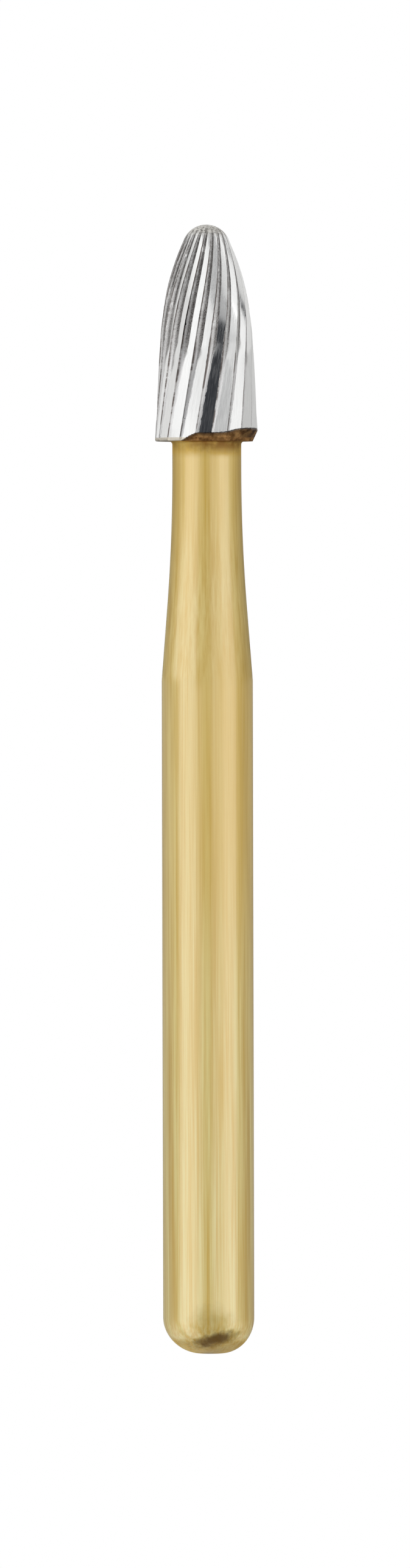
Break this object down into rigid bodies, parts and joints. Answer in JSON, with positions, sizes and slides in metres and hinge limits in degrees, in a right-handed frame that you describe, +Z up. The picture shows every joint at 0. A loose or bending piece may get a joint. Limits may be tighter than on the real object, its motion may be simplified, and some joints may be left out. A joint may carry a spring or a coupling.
{
  "type": "dental bur",
  "caption": "Friction-grip dental bur with a bullet-shaped fluted carbide head on a gold-plated steel shank.",
  "frame": {"origin": "middle of the bur's box on the table that it lies on", "axes": "+Y along the bur towards the tip of the head, +Z up"},
  "size_m": [0.0018, 0.0198, 0.0018],
  "materials": {
    "carbide": "ground",
    "gold_plated_steel": "satin"
  },
  "bodies": {
    "root": {"cutting_head": "carbide", "shank": "gold_plated_steel"}
  },
  "joints": []
}
